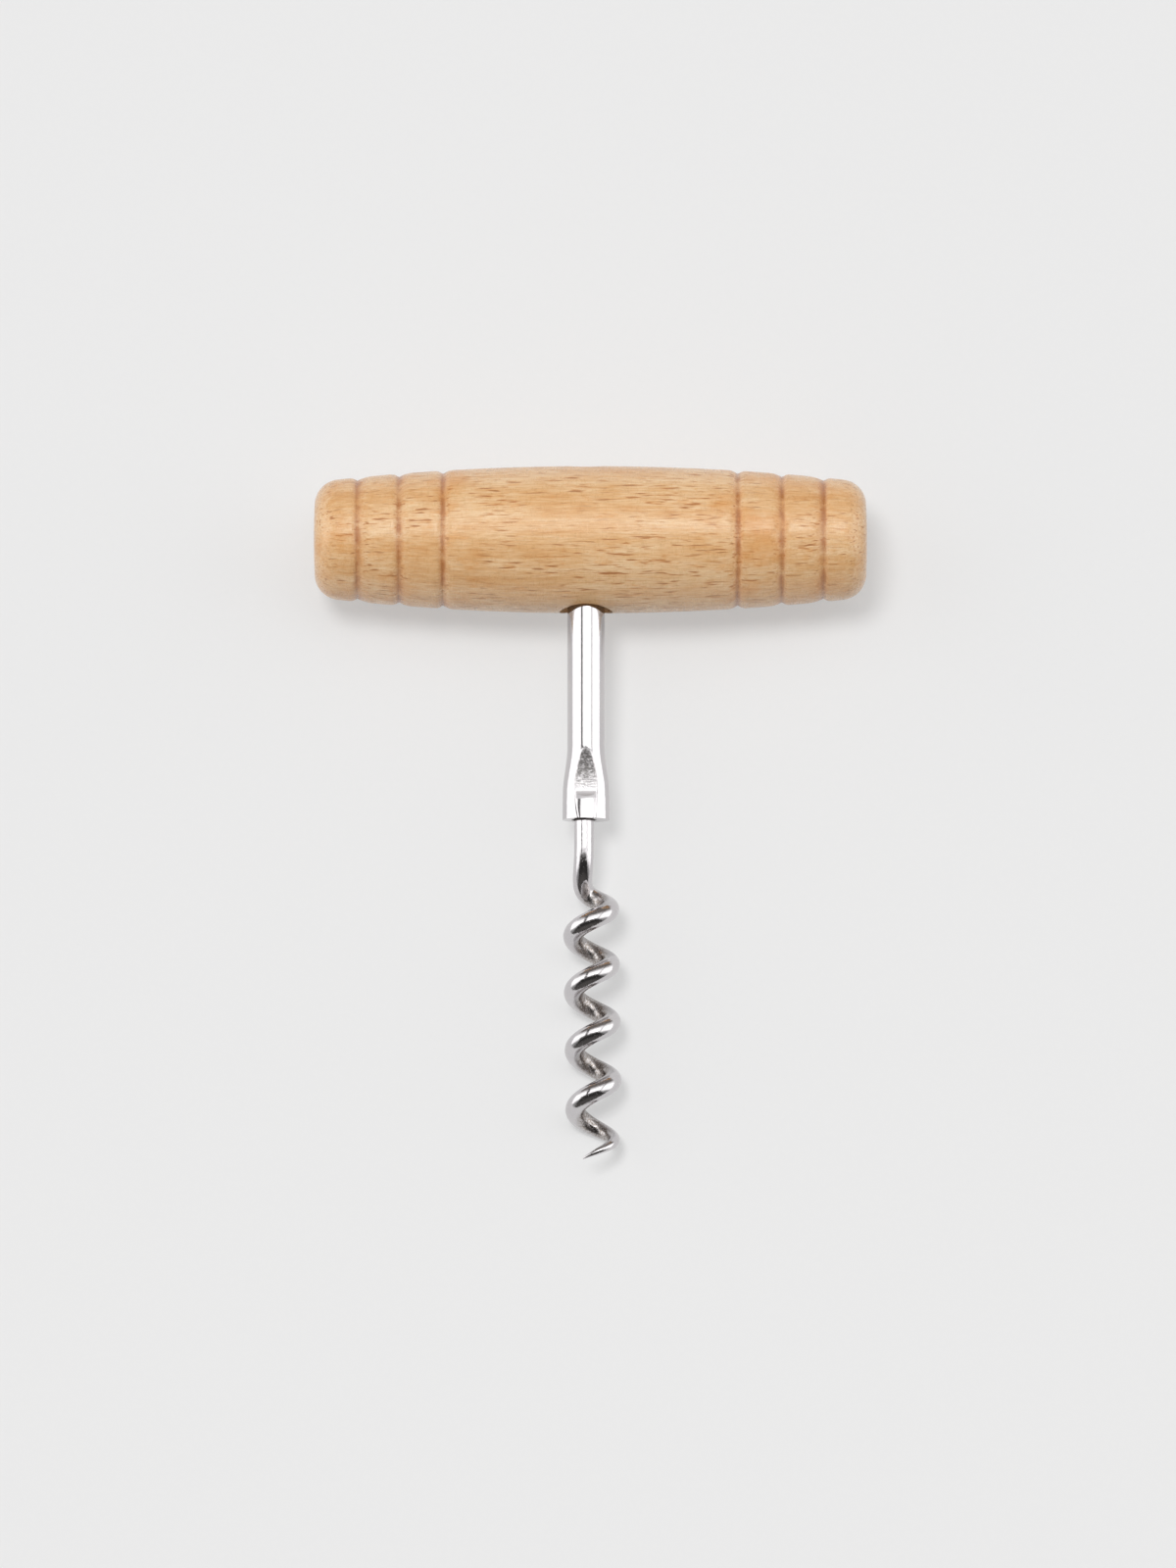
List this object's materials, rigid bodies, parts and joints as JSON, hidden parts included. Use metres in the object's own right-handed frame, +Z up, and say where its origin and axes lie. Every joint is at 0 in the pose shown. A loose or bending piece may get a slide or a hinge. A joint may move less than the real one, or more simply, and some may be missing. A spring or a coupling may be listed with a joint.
{
  "type": "t handle corkscrew",
  "caption": "Corkscrew with a turned wooden crossbar handle, a plated steel shank with a squeezed end, and a right-hand wire worm with a ground point",
  "frame": {"origin": "bottom centre of the bounding box of the corkscrew as it lies on a table", "axes": "+Z up from the table, +X along the handle, -Y from the handle toward the tip of the worm"},
  "size_m": [0.095, 0.12, 0.0253],
  "materials": {
    "wood": "satin lacquer",
    "plated_steel": "bright nickel plate"
  },
  "bodies": {
    "root": {"handle": "wood", "shank": "plated_steel", "worm": "plated_steel"}
  },
  "joints": []
}
